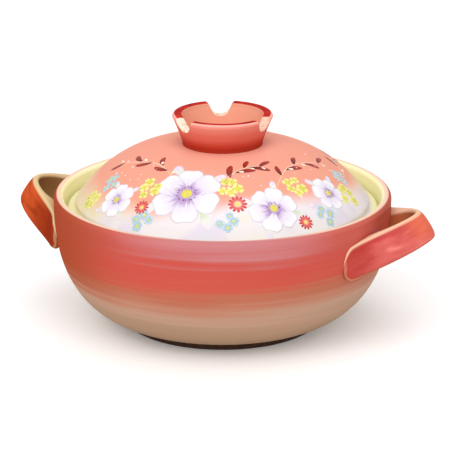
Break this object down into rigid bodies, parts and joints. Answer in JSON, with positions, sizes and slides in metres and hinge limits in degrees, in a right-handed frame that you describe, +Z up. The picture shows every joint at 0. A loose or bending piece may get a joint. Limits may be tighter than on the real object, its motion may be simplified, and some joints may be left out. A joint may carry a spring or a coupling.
{
  "type": "lidded stew pot",
  "caption": "Round glazed stoneware stew pot with strap handles, a bare foot ring and a domed lift-off lid that sits in a gallery and carries a notched ring knob.",
  "frame": {"origin": "on the table under the middle of the pot", "axes": "+Z up, +X through the right handle, the handles along X, -Y towards the viewer"},
  "size_m": [0.2884, 0.221, 0.1401],
  "materials": {
    "red_glaze": "gloss glaze, red under the rim and fading to beige at the foot",
    "salmon_glaze": "gloss glaze, salmon at the crown and fading to white",
    "bare_clay": "unglazed dark fired clay"
  },
  "bodies": {
    "pot": {"pot_body": "red_glaze", "foot_ring": "bare_clay", "handle_left": "red_glaze", "handle_right": "red_glaze"},
    "lid": {"lid_dome": "salmon_glaze", "lid_knob": "red_glaze"}
  },
  "joints": [
    {"name": "lid_lift", "type": "slide", "parent": "pot", "child": "lid", "axis": [0, 0, 1], "range_m": [0, 0.12]}
  ]
}
